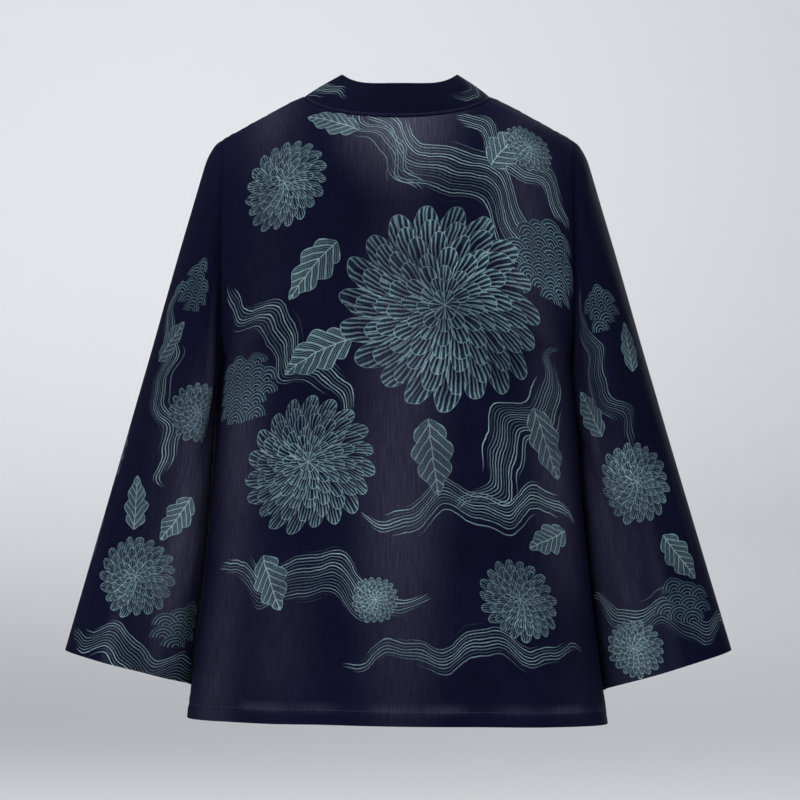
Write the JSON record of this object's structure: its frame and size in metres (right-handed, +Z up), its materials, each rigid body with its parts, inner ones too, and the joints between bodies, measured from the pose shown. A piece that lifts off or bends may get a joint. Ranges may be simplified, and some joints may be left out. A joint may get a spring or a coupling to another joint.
{
  "type": "kimono jacket",
  "caption": "Hip-length open-front kimono jacket of printed cotton, hollow as if worn, with a standing neck band and wide sloping sleeves.",
  "frame": {"origin": "midway between the two shoulder points of the neck seam, where the jacket rests on the shoulders that hold it up", "axes": "+Z up; the garment's back faces -Y and its open front faces +Y; the wearer's right side is at +X"},
  "size_m": [0.75, 0.256, 0.7258],
  "materials": {
    "printed_cotton": "matt plain weave with a printed pattern",
    "band_cotton": "matt plain weave"
  },
  "bodies": {
    "root": {"back": "printed_cotton", "front_left": "printed_cotton", "front_right": "printed_cotton", "sleeve_left": "printed_cotton", "sleeve_right": "printed_cotton", "band_neck": "band_cotton", "band_left": "band_cotton", "band_right": "band_cotton"}
  },
  "joints": []
}
